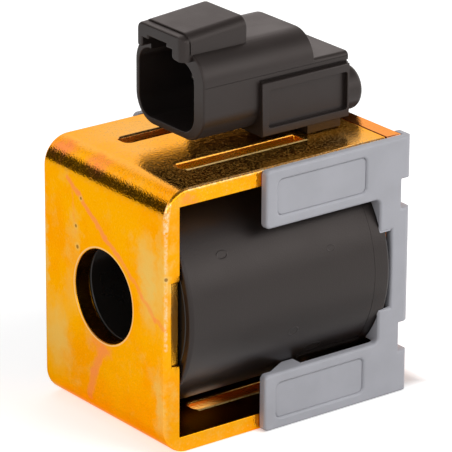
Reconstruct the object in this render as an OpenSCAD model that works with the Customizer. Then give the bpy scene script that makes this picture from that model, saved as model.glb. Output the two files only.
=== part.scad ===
// Solenoid coil for a screw-in cartridge valve.
// A folded steel yoke and a loose end plate carry the magnetic circuit round a moulded coil.
// Two identical plastic side clips hold the end plate, and a two-pin plug connector stands on top.
// Origin: on the bore axis, at the outer face of the yoke's front plate.
// Axes: +X along the bore towards the end plate, +Z towards the connector. Millimetres.

/* [Valve tube] */
// Diameter of the hole that slips over the valve's tube
bore_d = 16.2; // [14:0.1:18]

/* [Yoke] */
// Width of the steel strip
strip_w = 34.3; // [32:0.1:38]
// Thickness of the steel strip
strip_t = 3; // [2.5:0.1:3.5]
// Height over the two legs
yoke_h = 46.3; // [44:0.1:50]
// Length of the legs, from the front face
leg_len = 46; // [44:0.1:50]
// Outer radius of the two folds
fold_r = 4.8; // [3.6:0.1:6]
// Width of the two long slots in each leg
slot_w = 3.1; // [2:0.1:4]
// Length of the long slots
slot_len = 25.2; // [18:0.1:28]
// Start of the top leg's slots, from the front face
slot_front = 9.6; // [7:0.1:12]
// Start of the bottom leg's slots, from the front face
low_slot_front = 12.1; // [7:0.1:13]
// Distance between the centre lines of the slots
slot_pitch = 15.8; // [14:0.1:18]
// Corner radius at the front end of the slots
slot_r = 1; // [0.4:0.1:1.2]
// Height of the sheared step on the side edges of the front plate
shear_h = 14.6; // [10:0.1:18]
// Depth of the sheared step
shear_depth = 0.5; // [0.2:0.1:0.8]

/* [End plate] */
// Thickness of the end plate
plate_t = 3; // [2.5:0.1:4]
// Joint between the leg ends and the end plate
plate_gap = 0.2; // [0.1:0.05:0.4]

/* [Coil] */
// Clearance between the coil and the legs
coil_clear = 0.3; // [0.2:0.05:0.6]
// End play of the bobbin at each end
end_play = 0.2; // [0.1:0.05:0.4]
// Wall of the bobbin's tube
tube_wall = 1.2; // [0.8:0.1:1.6]
// Thickness of the bobbin's flanges
flange_t = 2.4; // [2:0.1:3]
// How far the bobbin's nose stands out of its rear flange
nose_len = 0.8; // [0.5:0.1:1.2]
// Wall of the jacket over the flanges
jacket_wall = 1.6; // [1.2:0.1:2.2]
// Margin between the flange's rim and the wound coil
wound_margin = 0.8; // [0.5:0.1:1.5]
// Thickness of the insulating tape over the winding
tape_t = 0.3; // [0.2:0.05:0.5]
// Fit between pieces that are moulded or wound on each other
close_fit = 0.05; // [0.03:0.01:0.1]
// Radius on the jacket's end edges
jacket_edge_r = 0.7; // [0.3:0.1:1]
// Distance of the mould's seam ring from the jacket's rear end
seam_inset = 3.4; // [2.5:0.1:5]
// Width and depth of the seam ring
seam_size = 0.15; // [0.1:0.05:0.3]

/* [Guide rails on the coil] */
// Length of the rails, forward of the seam ring
rail_len = 13.1; // [8:0.1:16]
// How far the rails stand out of the jacket
rail_proud = 0.5; // [0.3:0.1:0.7]
// Height of the rails
rail_h = 0.6; // [0.4:0.1:0.9]

/* [Leads and terminals] */
// Diameter of the coil's lead wires
wire_d = 0.8; // [0.5:0.05:1]
// Diameter of the round contact pins
pin_d = 1.57; // [1.2:0.01:2]
// Distance between the two pins
pin_pitch = 5.4; // [4.6:0.1:5.8]
// How far the pin tips lie behind the connector's rim
pin_recess = 7.4; // [5:0.1:9]
// Thickness of the terminal strip
terminal_t = 0.8; // [0.6:0.05:1]
// Width of the terminal strip
terminal_w = 1.4; // [1.2:0.1:1.6]

/* [Connector] */
// Width of the connector's shell
shell_w = 18.9; // [17:0.1:20]
// Height of the connector's shell
shell_h = 15.3; // [14:0.1:17]
// Length of the connector's shell
shell_len = 22.9; // [20:0.1:25]
// Corner radius of the shell
shell_r = 5; // [3.5:0.1:6]
// Mean wall at the sides of the socket
shell_side_wall = 1.85; // [1.5:0.05:2.4]
// Wall below the socket
shell_wall = 1.15; // [1:0.05:2]
// Wall above the socket
shell_top_wall = 2.2; // [1.6:0.1:2.4]
// Corner radius of the socket
socket_r = 3.2; // [2.4:0.1:4]
// Sideways offset of the socket, the pins and the latch's channel
socket_shift = 0.95; // [0:0.05:1]
// Depth of the socket
socket_depth = 15.9; // [12:0.1:17]
// Gap between the top leg and the shell
shell_lift = 2.85; // [2.4:0.05:4]
// Length of the low block behind the shell
block_len = 7.3; // [6.5:0.1:9]
// Height of the low block
block_h = 10.7; // [9:0.1:12]
// Corner radius at the top of the low block
block_r = 0.8; // [0.4:0.1:1.2]
// Distance of the low block's rear face from the leg ends
block_inset = 2.2; // [1.4:0.1:3]
// Length of the foot under the low block
foot_len = 7; // [6:0.1:8]
// Width of the foot
foot_w = 16.6; // [12:0.1:17]
// Gap between the foot and the top leg
foot_clear = 0.2; // [0.1:0.05:0.4]
// Length of the neck that goes through the top leg
neck_len = 6; // [4.6:0.1:6.4]
// Width of the neck
neck_w = 8; // [7.6:0.1:9]
// Clearance of the neck in its slot
neck_clear = 0.3; // [0.2:0.05:0.5]
// Radius of the round spigot at the rear
spigot_r = 4; // [3:0.1:4.4]
// Height of the spigot's axis above the top leg
spigot_lift = 3.4; // [3:0.1:4]
// How far the spigot stands out behind the end plate
spigot_over = 2.6; // [1.5:0.1:3.5]
// Clearance of the spigot in the end plate's notch
spigot_clear = 0.35; // [0.25:0.05:0.6]
// Radius on the spigot's rear edge
spigot_edge_r = 1; // [0.4:0.1:1.4]
// Height of the mould's parting line below the top of the shell
parting_drop = 5.3; // [4.6:0.1:5.5]

/* [Latch hood] */
// Width of the hood over the latch
hood_w = 12.4; // [11:0.1:13]
// Length of the hood behind the socket's rim
hood_len = 11.4; // [9:0.1:14]
// How far the hood stands out in front of the rim
hood_over = 1.9; // [1:0.1:2.5]
// Height of the hood above the shell, at the rim
hood_h = 3.2; // [2.8:0.1:4]
// Rise of the hood's top towards the rear, in degrees
hood_rise = 4.6; // [2:0.1:6]
// Step down to the lip in front of the rim
lip_step = 0.4; // [0.2:0.1:0.8]
// Radius on the hood's long top edges
hood_r = 1.6; // [0.8:0.1:2]
// Width of the latch's channel
latch_w = 8.2; // [7:0.1:8.6]
// Length of the latch's channel behind the rim
latch_len = 9; // [7:0.1:11]
// Height of the channel above the shell's top
latch_rise = 0.8; // [0.4:0.1:1.2]
// How far the hood's two legs hang below the top of the shell
hood_drop = 1.2; // [0.6:0.1:1.4]
// Radius at the lower ends of the hood's legs
hood_leg_r = 0.8; // [0.3:0.1:1]
// Width of the ledges along the top of the latch's channel
ledge_w = 1.6; // [0.8:0.1:2]
// Height of the ledges
ledge_h = 0.6; // [0.3:0.1:0.7]

/* [Label pad] */
// Length of the raised pad on each side of the connector
pad_len = 18.4; // [14:0.1:19]
// Height of the raised pads
pad_h = 9.3; // [7:0.1:9.6]
// How far the pad stands out of the shell's side
pad_proud = 0.95; // [0.6:0.05:1.5]
// How far the pad reaches below the shell
pad_drop = 0.45; // [0.4:0.05:1.2]
// Border round the pad's recessed field
pad_border = 1.35; // [0.8:0.05:2]
// Border at the rear end of the pad's recessed field
pad_rear_border = 0.5; // [0.4:0.05:1.5]
// Depth of the pad's recessed field
pad_recess = 0.9; // [0.4:0.1:1.2]
// Width of the groove above the pad
pad_groove = 0.45; // [0.3:0.05:0.6]

/* [Side clips] */
// Thickness of the clip's side wall
clip_t = 1.5; // [1.2:0.1:2.2]
// Gap between the clip and the steel
clip_gap = 0.1; // [0.05:0.05:0.2]
// Height of each arm
arm_h = 10.1; // [8:0.1:11]
// Length of the arms, forward of the end plate
arm_len = 26.7; // [22:0.1:30]
// Corner radius of the arms
arm_r = 0.9; // [0.4:0.1:1.5]
// How far the clip stops short of the yoke's top and bottom
clip_inset = 0.05; // [0.05:0.05:0.4]
// Width of the tabs in the corners
tab_len = 2.4; // [1.8:0.1:3]
// Height of the tabs
tab_h = 6; // [4:0.1:7]
// Radius in the corners between the arms and the tabs
tab_r = 1; // [0.5:0.1:1.5]
// Clearance of the tabs and barbs from the coil
hug_clear = 0.12; // [0.1:0.02:0.4]
// Thickness of the lips behind the end plate
lip_t = 1.1; // [0.8:0.1:1.6]
// How far the lips reach behind the end plate
lip_reach = 2; // [1.2:0.1:3]
// Chamfer on the outer edge of the lips
lip_chamfer = 0.8; // [0.3:0.1:1]
// Height of the middle lip
lip_mid_h = 20.8; // [16:0.1:22]
// Height of the gaps between the lips
lip_gap_h = 5.2; // [4:0.1:6]
// How far the gaps between the lips cut into the clip
lip_gap_cut = 1.2; // [0.6:0.1:1.6]
// Length of the barbs' slope
barb_slope = 5.2; // [4:0.1:6]
// Length of the barbs' flat tip
barb_flat = 1.2; // [0.8:0.1:1.6]
// Distance of the barbs' slope from the front of the arms
barb_start = 2.2; // [1:0.1:3]
// How far the barbs reach inwards
barb_reach = 2.8; // [2:0.1:3.2]
// Height of the barbs
barb_h = 5; // [4:0.1:7]
// Length of the recessed field on each arm
field_len = 18.6; // [14:0.1:20]
// Height of the recessed field
field_h = 6.2; // [4.5:0.1:6.8]
// Depth of the recessed field
field_depth = 0.35; // [0.2:0.05:0.5]
// Distance of the recessed field from the front of the arm
field_start = 2.5; // [1.5:0.1:4]

/* [Hidden] */
$fn = 96;
cut = 1;

// Radii about the bore axis
bore_r = bore_d / 2;
tube_r = bore_r + tube_wall;
jacket_r = yoke_h / 2 - strip_t - coil_clear;
flange_r = jacket_r - jacket_wall;
tape_r = flange_r - wound_margin;
wound_r = tape_r - tape_t - close_fit;

// Stations along the bore
plate_front = leg_len + plate_gap;
plate_rear = plate_front + plate_t;
bobbin_front = strip_t + end_play;
bobbin_rear = plate_front - end_play;
jacket_front = bobbin_front + end_play;
jacket_rear = bobbin_rear - nose_len;
wound_front = jacket_front + flange_t;
wound_rear = jacket_rear - flange_t;
seam_at = jacket_rear - seam_inset;

// Connector stations
block_rear = leg_len - block_inset;
shell_rear = block_rear - block_len;
rim = shell_rear - shell_len;
socket_floor = rim + socket_depth;
foot_mid = shell_rear + block_len / 2 - 0.5;
neck_front = foot_mid - neck_len / 2;
leg_top = yoke_h / 2;
foot_bottom = leg_top + foot_clear;
shell_bottom = leg_top + shell_lift;
shell_top = shell_bottom + shell_h;
shell_mid = shell_bottom + shell_h / 2;
spigot_z = leg_top + spigot_lift;
socket_low = shell_bottom + shell_wall;
socket_top = shell_top - shell_top_wall;
pin_z = (socket_low + socket_top) / 2;
pin_y = pin_pitch / 2;

// Terminal tail, which comes down through the neck to the lead
tail_x = foot_mid;
tail_bottom = tape_r + wound_margin;
lead_z = tail_bottom + wire_d / 2;
lead_bend = wire_d;

// Clip stations
clip_in = strip_w / 2 + clip_gap;
clip_out = clip_in + clip_t;
clip_half_h = yoke_h / 2 - clip_inset;
arm_inner = clip_half_h - arm_h;
arm_front = plate_front - arm_len;
clip_rear = plate_rear + clip_gap + lip_t - lip_chamfer;
tab_rear = plate_front - clip_gap;
tab_front = tab_rear - tab_len;
hug_r = jacket_r + hug_clear;

// Box between two corners
module slab(x0, x1, y0, y1, z0, z1) {
    translate([x0, y0, z0]) cube([x1 - x0, y1 - y0, z1 - z0]);
}

// Flat outline in Y and Z, drawn out along X
module along_x(x0, x1) {
    translate([x0, 0, 0]) rotate([90, 0, 90]) linear_extrude(x1 - x0) children();
}

// Flat outline in X and Z, drawn out along Y
module along_y(y0, y1) {
    translate([0, y1, 0]) rotate([90, 0, 0]) linear_extrude(y1 - y0) children();
}

// Flat outline of radius and station, turned about the bore axis
module around_bore() {
    rotate([90, 0, 90]) rotate_extrude() children();
}

// Round bar along the bore
module rod(r, x0, x1) {
    translate([x0, 0, 0]) rotate([0, 90, 0]) cylinder(r = r, h = x1 - x0);
}

// Rectangle between two corners with round corners
module soft_rect(x0, x1, y0, y1, r) {
    translate([x0 + r, y0]) square([x1 - x0 - 2 * r, y1 - y0]);
    translate([x0, y0 + r]) square([x1 - x0, y1 - y0 - 2 * r]);
    for (x = [x0 + r, x1 - r], y = [y0 + r, y1 - r])
        translate([x, y]) circle(r);
}

// Round fill in an inner corner whose walls lie at larger X and larger Y
module inner_corner(x, y, r) {
    difference() {
        translate([x - r, y - r]) square(2 * r);
        translate([x - r, y - r]) circle(r);
    }
}

// Same shape above and below the bore axis
module above_and_below() {
    children();
    mirror([0, 0, 1]) children();
}

// Same shape on both sides of the part
module both_sides() {
    children();
    mirror([0, 1, 0]) children();
}

// Yoke: U-shaped strip with the bore in its front plate
module yoke_outline() {
    difference() {
        union() {
            soft_rect(0, 2 * fold_r + strip_t, -yoke_h / 2, yoke_h / 2, fold_r);
            translate([fold_r + strip_t, -yoke_h / 2]) square([leg_len - fold_r - strip_t, yoke_h]);
        }
        translate([strip_t, -yoke_h / 2 + strip_t]) square([leg_len, yoke_h - 2 * strip_t]);
    }
}

module leg_slot(front) {
    y0 = slot_pitch / 2 - slot_w / 2;
    y1 = slot_pitch / 2 + slot_w / 2;
    translate([0, 0, leg_top - strip_t - cut]) linear_extrude(strip_t + 2 * cut) {
        soft_rect(front, front + 4 * slot_r, y0, y1, slot_r);
        translate([front + slot_r, y0]) square([slot_len - slot_r, slot_w]);
    }
}

module yoke_frame() {
    color([0.95, 0.64, 0.08]) difference() {
        along_y(-strip_w / 2, strip_w / 2) yoke_outline();
        rod(bore_r, -cut, strip_t + cut);
        both_sides() {
            leg_slot(slot_front);
            mirror([0, 0, 1]) leg_slot(low_slot_front);
        }
        both_sides() slab(strip_t / 2, strip_t + cut, strip_w / 2 - shear_depth, strip_w / 2 + cut,
            -shear_h / 2, shear_h / 2);
        slab(neck_front - neck_clear, leg_len + cut, -neck_w / 2 - neck_clear, neck_w / 2 + neck_clear,
            leg_top - strip_t - cut, leg_top + cut);
    }
}

// End plate: closes the magnetic circuit and takes the valve's nut
module end_plate() {
    color([0.9, 0.58, 0.38]) difference() {
        slab(plate_front, plate_rear, -strip_w / 2, strip_w / 2, -yoke_h / 2, yoke_h / 2);
        rod(bore_r, plate_front - cut, plate_rear + cut);
        translate([0, 0, spigot_z]) rod(spigot_r + spigot_clear, plate_front - cut, plate_rear + cut);
    }
}

// Side clip: two arms along the legs and an upright that grips the end plate's edge
module clip_outline() {
    upright_in = plate_front;
    for (flip = [0, 1]) mirror([0, flip]) {
        soft_rect(arm_front, clip_rear, arm_inner, clip_half_h, arm_r);
        translate([clip_rear - 2 * arm_r, arm_inner]) square([2 * arm_r, arm_h / 2]);
        translate([tab_front, arm_inner - tab_h]) square([clip_rear - tab_front, tab_h + arm_h / 2]);
        inner_corner(tab_front, arm_inner, tab_r);
    }
    translate([upright_in, -arm_inner]) square([clip_rear - upright_in, 2 * arm_inner]);
}

// Section of one lip, in X and Y, with its chamfer
module lip_section() {
    inner = strip_w / 2 - lip_reach;
    front = plate_rear + clip_gap;
    rear = front + lip_t;
    polygon([
        [clip_rear - lip_t, -clip_in], [clip_rear - lip_t, -clip_out], [clip_rear, -clip_out],
        [rear, -clip_out + lip_chamfer], [rear, -inner], [front, -inner], [front, -clip_in]
    ]);
}

module lips() {
    z_out = lip_mid_h / 2 + lip_gap_h;
    translate([0, 0, -lip_mid_h / 2]) linear_extrude(lip_mid_h) lip_section();
    above_and_below() translate([0, 0, z_out]) linear_extrude(clip_half_h - z_out) lip_section();
}

// Block of the tab that fills the corner between the coil and the end plate
module tab_block() {
    slab(tab_front, tab_rear, -clip_out, -jacket_r / 2, arm_inner - tab_h, arm_inner);
}

// Barb on the inner face of an arm: long slope to the front, steep face to the rear
module barb() {
    tip_start = arm_front + barb_start + barb_slope;
    translate([0, 0, arm_inner]) linear_extrude(barb_h) polygon([
        [arm_front + barb_start, -clip_in - clip_t / 2], [arm_front + barb_start, -clip_in],
        [tip_start, -clip_in + barb_reach], [tip_start + barb_flat, -clip_in + barb_reach],
        [tip_start + barb_flat, -clip_in - clip_t / 2]
    ]);
}

// Shallow bare field on the outer face of an arm
module arm_field() {
    x0 = arm_front + field_start;
    z_mid = (arm_inner + clip_half_h) / 2;
    along_y(-clip_out - cut, -clip_out + field_depth)
        soft_rect(x0, x0 + field_len, z_mid - field_h / 2, z_mid + field_h / 2, arm_r);
}

module side_clip() {
    z_gap = lip_mid_h / 2;
    color([0.68, 0.68, 0.71]) difference() {
        union() {
            along_y(-clip_out, -clip_in) clip_outline();
            lips();
            above_and_below() {
                tab_block();
                barb();
            }
        }
        rod(hug_r, arm_front - cut, tab_rear);
        above_and_below() {
            arm_field();
            slab(clip_rear - lip_gap_cut, plate_rear + 2 * lip_t, -clip_out - cut, 0,
                z_gap, z_gap + lip_gap_h);
        }
    }
}

module clip_near() {
    side_clip();
}

module clip_far() {
    rotate([180, 0, 0]) side_clip();
}

// Bobbin: tube with two flanges, and a groove in the rear one for the start of the wire
module bobbin() {
    color([0.16, 0.15, 0.15]) difference() {
        around_bore() {
            translate([bore_r, bobbin_front]) square([tube_wall, bobbin_rear - bobbin_front]);
            for (x = [jacket_front, wound_rear])
                translate([bore_r, x]) square([flange_r - bore_r, flange_t]);
        }
        slab(wound_rear - cut, wound_rear + wire_d + 2 * close_fit,
            -pin_y - wire_d / 2 - close_fit, -pin_y + wire_d / 2 + close_fit, tube_r, jacket_r);
    }
}

// Winding of enamelled copper wire, shown as one body
module winding() {
    color([0.72, 0.4, 0.18]) around_bore()
        translate([tube_r + close_fit, wound_front + close_fit])
            square([wound_r - tube_r - close_fit, wound_rear - wound_front - 2 * close_fit]);
}

// Tape over the winding, with a slit where the wire's end comes out
module winding_tape() {
    slit = wire_d + 4 * close_fit;
    color([0.85, 0.7, 0.25]) difference() {
        around_bore() translate([wound_r + close_fit, wound_front + close_fit])
            square([tape_t, wound_rear - wound_front - 2 * close_fit]);
        slab(tail_x - slit / 2, tail_x + slit / 2, pin_y - slit / 2, pin_y + slit / 2, 0, jacket_r);
    }
}

// Start lead: up the flange's groove, then forward to the near terminal's tail
module start_wire(r) {
    x0 = wound_rear + wire_d / 2 + close_fit;
    translate([x0, -pin_y, tube_r + wire_d]) cylinder(r = r, h = lead_z - lead_bend - tube_r - wire_d);
    translate([x0 - lead_bend, -pin_y, lead_z - lead_bend]) rotate([90, 0, 0])
        rotate_extrude(angle = 90) translate([lead_bend, 0]) circle(r);
    translate([0, -pin_y, lead_z]) rod(r, tail_x + terminal_t / 2 + close_fit, x0 - lead_bend);
}

// Finish lead: from the outer layer straight up to the far terminal's tail
module finish_wire(r) {
    translate([tail_x, pin_y, wound_r + close_fit])
        cylinder(r = r, h = tail_bottom - wound_r - 2 * close_fit);
}

module start_lead() {
    color([0.72, 0.4, 0.18]) start_wire(wire_d / 2);
}

module finish_lead() {
    color([0.72, 0.4, 0.18]) finish_wire(wire_d / 2);
}

// Terminal: round pin, flat strip and a tail down to the lead
module terminal(side, grow = 0) {
    strip_rear = tail_x + terminal_t / 2;
    half_w = terminal_w / 2 + grow;
    half_t = terminal_t / 2 + grow;
    translate([0, side * pin_y, 0]) {
        translate([0, socket_shift, pin_z])
            rod(pin_d / 2 + grow, rim + pin_recess + pin_d / 2, socket_floor + pin_d);
        if (grow == 0)
            translate([rim + pin_recess + pin_d / 2, socket_shift, pin_z]) sphere(pin_d / 2);
        slab(socket_floor + pin_d / 2, strip_rear + grow, -half_w, half_w + socket_shift,
            pin_z - half_t, pin_z + half_t);
        slab(tail_x - half_t, tail_x + half_t, -half_w, half_w, tail_bottom - grow, pin_z + half_t);
    }
}

module terminal_near() {
    color([0.78, 0.76, 0.7]) terminal(-1);
}

module terminal_far() {
    color([0.78, 0.76, 0.7]) terminal(1);
}

// Space that the leads and terminals take up inside the mouldings
module conductor_space() {
    start_wire(wire_d / 2 + close_fit);
    finish_wire(wire_d / 2 + close_fit);
    for (side = [-1, 1]) terminal(side, close_fit);
}

// Jacket: the moulded cylinder, its guide rails and the neck to the connector
module jacket_section() {
    difference() {
        soft_rect(flange_r - jacket_r, jacket_r, jacket_front, jacket_rear, jacket_edge_r);
        translate([-2 * jacket_r, jacket_front - cut])
            square([2 * jacket_r + flange_r + close_fit, wound_front + close_fit - jacket_front + cut]);
        translate([-2 * jacket_r, wound_rear - close_fit])
            square([2 * jacket_r + flange_r + close_fit, jacket_rear - wound_rear + close_fit + cut]);
        translate([-2 * jacket_r, jacket_front]) square([2 * jacket_r + tape_r + close_fit, jacket_rear]);
        translate([jacket_r - seam_size, seam_at - seam_size / 2]) square([2 * seam_size, seam_size]);
    }
}

module guide_rails() {
    rail_top = arm_inner - hug_clear;
    intersection() {
        above_and_below() both_sides()
            slab(seam_at - rail_len, seam_at - seam_size / 2, jacket_r / 2, jacket_r,
                rail_top - rail_h, rail_top);
        difference() {
            rod(jacket_r + rail_proud, 0, leg_len);
            rod(jacket_r - jacket_wall / 2, -cut, leg_len + cut);
        }
    }
}

module coil_jacket() {
    color([0.24, 0.23, 0.22]) difference() {
        union() {
            around_bore() jacket_section();
            guide_rails();
            slab(neck_front, neck_front + neck_len, -neck_w / 2, neck_w / 2,
                flange_r + jacket_wall / 4, foot_bottom);
        }
        conductor_space();
    }
}

// Connector: shell with its socket, latch hood, low block, foot, spigot and a pad on each side
module shell_outline() {
    soft_rect(-shell_w / 2, shell_w / 2, shell_bottom, shell_top, shell_r);
}

module socket_outline() {
    half_w = shell_w / 2 - shell_side_wall;
    soft_rect(socket_shift - half_w, socket_shift + half_w, socket_low, socket_top, socket_r);
}

module hood_side_view() {
    top = shell_top + hood_h;
    low = shell_top - hood_drop;
    rear = rim + hood_len;
    polygon([
        [rim - hood_over, low], [rear, low], [rear, top + hood_len * tan(hood_rise)], [rim, top],
        [rim, top - lip_step], [rim - hood_over, top - lip_step - hood_over * tan(hood_rise)]
    ]);
}

module latch_hood() {
    low = shell_top - 2 * hood_drop;
    intersection() {
        along_y(-hood_w / 2, hood_w / 2) hood_side_view();
        translate([rim, 0, shell_top + hood_h]) rotate([0, -hood_rise, 0])
            translate([-rim, 0, -shell_top - hood_h]) along_x(rim - 2 * hood_over, rim + 2 * hood_len)
                soft_rect(-hood_w / 2, hood_w / 2, low, shell_top + hood_h, hood_r);
        union() {
            slab(rim, rim + 2 * hood_len, -hood_w, hood_w, low, shell_top + 2 * hood_h);
            along_x(rim - 2 * hood_over, rim + cut)
                soft_rect(-hood_w / 2, hood_w / 2, shell_top - hood_drop, shell_top + 2 * hood_h, hood_leg_r);
        }
    }
}

module latch_channel() {
    front = rim - hood_over - cut;
    y0 = socket_shift - latch_w / 2;
    y1 = socket_shift + latch_w / 2;
    top = shell_top + latch_rise;
    slab(front, rim + latch_len, y0, y1, shell_mid, top - ledge_h);
    slab(front, rim + latch_len, y0 + ledge_w, y1 - ledge_w, shell_mid, top);
}

// Rounded pin at the rear, which sits in the end plate's notch
module spigot() {
    tip = plate_rear + spigot_over;
    spigot_root = neck_front + neck_len + close_fit;
    translate([0, 0, spigot_z]) around_bore() difference() {
        union() {
            translate([0, spigot_root]) square([spigot_r, tip - spigot_edge_r - spigot_root]);
            translate([0, tip - 2 * spigot_edge_r]) square([spigot_r - spigot_edge_r, 2 * spigot_edge_r]);
            translate([spigot_r - spigot_edge_r, tip - spigot_edge_r]) circle(spigot_edge_r);
        }
        translate([-spigot_r, 0]) square([spigot_r, 2 * tip]);
    }
}

module label_pad() {
    pad_rear = block_rear - 0.4;
    pad_bottom = shell_bottom - pad_drop;
    face = -shell_w / 2 - pad_proud;
    difference() {
        slab(pad_rear - pad_len, pad_rear, face, 0, pad_bottom, pad_bottom + pad_h);
        along_y(face - cut, face + pad_recess)
            soft_rect(pad_rear - pad_len + pad_border, pad_rear - pad_rear_border, pad_bottom + pad_border,
                pad_bottom + pad_h - pad_border, pad_border / 3);
    }
}

module pad_grooves() {
    pad_rear = block_rear - 0.4;
    pad_top = shell_bottom - pad_drop + pad_h;
    side = -shell_w / 2;
    both_sides() slab(pad_rear - pad_len, block_rear + cut, side - cut, side + pad_groove, pad_top,
        pad_top + pad_groove);
    both_sides() slab(rim - cut, block_rear + cut, shell_w / 2 - seam_size, shell_w / 2 + cut,
        shell_top - parting_drop - seam_size / 2, shell_top - parting_drop + seam_size / 2);
}

module connector_housing() {
    block_top = shell_bottom + block_h;
    color([0.27, 0.26, 0.25]) difference() {
        union() {
            along_x(rim, shell_rear) shell_outline();
            along_x(shell_rear - block_r, block_rear)
                soft_rect(-shell_w / 2, shell_w / 2, shell_bottom, block_top, block_r);
            slab(foot_mid - foot_len / 2, foot_mid + foot_len / 2, -foot_w / 2, foot_w / 2,
                foot_bottom, shell_mid);
            latch_hood();
            spigot();
            both_sides() label_pad();
        }
        along_x(rim - cut, socket_floor) socket_outline();
        latch_channel();
        pad_grooves();
        for (side = [-1, 1]) terminal(side, close_fit);
    }
}

yoke_frame();
end_plate();
clip_near();
clip_far();
coil_jacket();
connector_housing();
bobbin();
winding();
winding_tape();
start_lead();
finish_lead();
terminal_near();
terminal_far();
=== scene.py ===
"""Looks of a solenoid valve coil: rounded zinc-plated steel, moulded plastics, stage and camera."""

import math

import bmesh
import bpy
from mathutils import Matrix, Vector


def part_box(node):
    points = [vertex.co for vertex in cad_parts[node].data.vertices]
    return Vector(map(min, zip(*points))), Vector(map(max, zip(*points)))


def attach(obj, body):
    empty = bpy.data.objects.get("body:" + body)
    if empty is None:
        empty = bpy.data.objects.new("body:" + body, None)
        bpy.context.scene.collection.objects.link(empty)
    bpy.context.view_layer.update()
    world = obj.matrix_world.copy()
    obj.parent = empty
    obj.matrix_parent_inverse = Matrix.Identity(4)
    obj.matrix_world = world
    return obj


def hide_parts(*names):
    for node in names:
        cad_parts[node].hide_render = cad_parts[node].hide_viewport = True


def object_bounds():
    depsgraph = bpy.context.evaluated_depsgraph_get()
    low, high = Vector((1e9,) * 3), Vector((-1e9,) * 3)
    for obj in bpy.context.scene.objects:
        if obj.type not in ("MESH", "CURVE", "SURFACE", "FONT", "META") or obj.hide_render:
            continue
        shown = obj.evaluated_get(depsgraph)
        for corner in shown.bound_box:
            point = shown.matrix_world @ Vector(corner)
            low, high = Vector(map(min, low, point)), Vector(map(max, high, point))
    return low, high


bl_info = {
    "name": "Solenoid valve coil",
    "version": (1, 0, 0),
    "blender": (4, 5, 0),
    "location": "3D View > Sidebar > Coil",
    "description": "Dresses the packed valve coil and sets up its studio stage",
    "category": "Object",
}

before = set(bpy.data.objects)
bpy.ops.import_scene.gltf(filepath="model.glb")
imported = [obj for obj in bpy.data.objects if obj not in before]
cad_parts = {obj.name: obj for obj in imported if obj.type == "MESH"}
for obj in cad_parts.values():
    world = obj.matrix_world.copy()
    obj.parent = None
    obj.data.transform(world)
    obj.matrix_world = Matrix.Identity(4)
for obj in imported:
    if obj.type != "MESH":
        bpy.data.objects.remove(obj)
CAD_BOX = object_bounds()
MM = 0.001

YOKE_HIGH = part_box("yoke_frame")[1]
CLIP_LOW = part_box("clip_near")[0]
HOUSING_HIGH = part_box("connector_housing")[1]
JACKET_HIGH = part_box("coil_jacket")[1]

# Steel and jacket in the part's own frame, in millimetres
BORE_RADIUS = 8.1
FOLD_RADIUS = 4.8
STRIP = 3.0
SLOT_ALONG, SLOT_ACROSS = (9.5, 37.5), (6.3, 9.5)
JACKET_EDGE = 0.02
SEAM_INSET = 3.4
SOLID_SEAM_DEPTH, SEAM_DEPTH = 0.15, 0.05

# Connector in the part's own frame, in millimetres
RIM = 13.6
SHELL_REAR = 36.5
SHELL_HALF = 9.45
SHELL_LOW, SHELL_TOP = 26.0, 41.3
SHELL_MID = (SHELL_LOW + SHELL_TOP) / 2
SHELL_ROUND, SOCKET_ROUND = 5.0, 3.2
SOCKET_SHIFT = 0.95
SOCKET_HALF = 7.6
SOCKET_LOW, SOCKET_TOP = 27.15, 39.1
SOCKET_REAR = RIM + 15.9
SOCKET_EDGE = 0.22
TUNNEL_REAR = RIM + 9
TUNNEL_STEPS = ((4.1, SHELL_TOP + 0.2), (2.5, SHELL_TOP + 0.8))
BLOCK_REAR = 43.8
BLOCK_TOP = SHELL_LOW + 10.7
FOOT_LOW, FOOT_HIGH = (36.15, -8.3, 23.35), (43.15, 8.3, SHELL_MID)
SPIGOT_RADIUS, SPIGOT_LEVEL = 4.0, 26.55
HOOD_FRONT, HOOD_REAR = RIM - 0.5, RIM + 11.4
HOOD_LOW, HOOD_TOP = 40.1, 44.5
HOOD_HALF = 6.2
HOOD_ROUND = 1.8
HOOD_SLOPE = math.tan(math.radians(4.6))
LIP_FRONT, LIP_REAR = RIM - 1.9, RIM + 0.8
LIP_NEAR, LIP_FAR = -6.2, 6.3
LIP_LOW, LIP_TOP = HOOD_LOW - 0.25, HOOD_TOP - 0.25
LIP_CORNER = 1.4
LIP_DROP = 2.6 * HOOD_SLOPE
PAD_FRONT, PAD_REAR = 25.0, 43.4
PAD_LOW, PAD_TOP = 25.55, 34.85
PAD_FACE = SHELL_HALF + 0.95
FIELD_INSET, FIELD_REAR_INSET, FIELD_DEPTH = 1.35, 0.5, 0.9
GROOVE_SIZE = 0.45
PARTING_LEVEL, PARTING_HALF = SHELL_TOP - 5.3, 0.08

# Round mould marks on the jacket: centre, size and height
MOULD_MARKS = [
    ((11.6, -17.1, 10.1), (1.15, 0.75, 0.75), 0.035),
    ((33.2, -18.7, 6.8), (0.9, 0.6, 0.6), 0.03),
    ((25.2, -18.9, -6.1), (1.05, 0.9, 0.9), 0.07),
    ((31.0, -16.5, -11.0), (1.9, 0.9, 0.9), 0.06),
]

# Tints of the mirrored light
WARM_SHEEN = (1.0, 0.88, 0.84)
ZINC_SHEEN = (1.0, 0.7, 0.34)
WARM_BACKDROP = (1.0, 0.92, 0.9)

# Camera as fitted to the photograph: turn, height and roll in degrees, then millimetres
CAMERA_ANGLES = (-37.369, 21.416, 0.289)
CAMERA_CENTRE = Vector((25.0, 0, 0))
CAMERA_DISTANCE = 649.4
AIM_ACROSS, AIM_UP = 0.413, 6.39


# Settings that a user would change


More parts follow.
